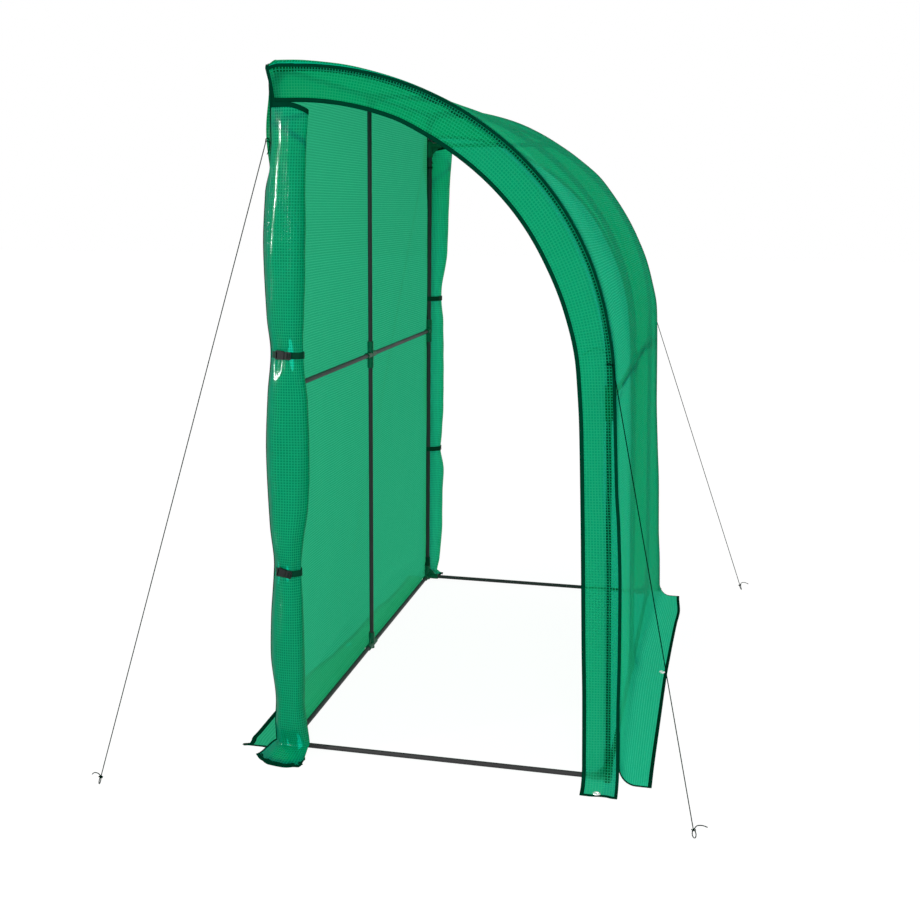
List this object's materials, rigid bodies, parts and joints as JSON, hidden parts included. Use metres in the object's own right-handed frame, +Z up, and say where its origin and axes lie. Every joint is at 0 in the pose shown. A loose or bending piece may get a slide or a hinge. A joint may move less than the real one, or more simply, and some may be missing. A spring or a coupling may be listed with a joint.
{
  "type": "lean-to greenhouse",
  "caption": "Quarter-arched lean-to greenhouse: steel tube frame in moulded sockets, green reinforced cover, open ends with rolled doors, guy ropes.",
  "frame": {"origin": "on the ground, at the middle of the flat pad under the middle back post", "axes": "+X from the wall side to the front, +Y along the wall towards the right end (the end with the tie), +Z up"},
  "size_m": [1.9438, 2.7574, 2.1241],
  "materials": {
    "frame_tube": "thin-walled round steel tube, dark grey powder coat, satin",
    "moulded_socket": "injection-moulded dark green polypropylene, fine satin",
    "cover_fabric": "green polyethylene film over a grid of reinforcing threads, translucent, softly glossy",
    "binding_tape": "dark green woven polypropylene tape, folded over the edge and sewn",
    "webbing": "dark green ribbed polypropylene webbing",
    "buckle": "black moulded acetal, satin",
    "eyelet": "pressed plain aluminium, bright",
    "stay_rope": "dark green twisted polyester cord"
  },
  "bodies": {
    "root": {"left_back_post": "frame_tube", "middle_back_post": "frame_tube", "right_back_post": "frame_tube", "left_arch": "frame_tube", "middle_arch": "frame_tube", "right_arch": "frame_tube", "left_front_leg": "frame_tube", "middle_front_leg": "frame_tube", "right_front_leg": "frame_tube", "back_top_rail": "frame_tube", "back_middle_rail": "frame_tube", "back_bottom_rail": "frame_tube", "front_middle_rail": "frame_tube", "front_bottom_rail": "frame_tube", "left_sill": "frame_tube", "right_sill": "frame_tube", "right_tie": "frame_tube", "top_connectors": "moulded_socket", "back_cross_connectors": "moulded_socket", "front_cross_connectors": "moulded_socket", "back_foot_connectors": "moulded_socket", "front_foot_connectors": "moulded_socket", "tie_tee": "moulded_socket", "tie_clip": "moulded_socket", "roof_cover": "cover_fabric", "back_wall_cover": "cover_fabric", "left_border": "cover_fabric", "right_border": "cover_fabric", "left_binding": "binding_tape", "right_binding": "binding_tape", "front_skirt": "cover_fabric", "back_skirt": "cover_fabric", "left_door_roll": "cover_fabric", "right_door_roll": "cover_fabric", "left_door_straps": "webbing", "right_door_straps": "webbing", "left_door_buckles": "buckle", "right_door_buckles": "buckle", "leg_straps": "webbing", "eyelets": "eyelet", "left_back_stay": "stay_rope", "right_back_stay": "stay_rope", "left_front_stay": "stay_rope", "right_front_stay": "stay_rope"}
  },
  "joints": []
}
